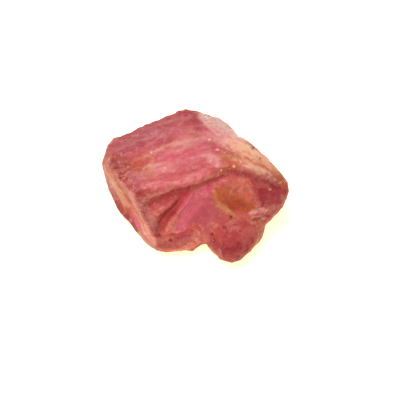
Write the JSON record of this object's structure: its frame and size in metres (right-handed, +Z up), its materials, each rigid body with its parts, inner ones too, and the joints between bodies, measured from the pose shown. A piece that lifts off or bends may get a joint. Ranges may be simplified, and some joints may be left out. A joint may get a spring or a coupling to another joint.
{
  "type": "rough rhodolite garnet",
  "caption": "Rough raspberry-pink garnet: a worn natural crystal lump with a smaller crystal grown into its front, resting on its flattest face.",
  "frame": {"origin": "on the plane of the resting face, under the middle of the stone's box", "axes": "+X along the stone's length with the small front crystal on the +X half, +Y to its back, +Z up from the resting face"},
  "size_m": [0.012, 0.01, 0.0058],
  "materials": {
    "garnet": "translucent pink garnet with a frosted, finely grooved skin and rust-orange stains"
  },
  "bodies": {
    "root": {"garnet": "garnet"}
  },
  "joints": []
}
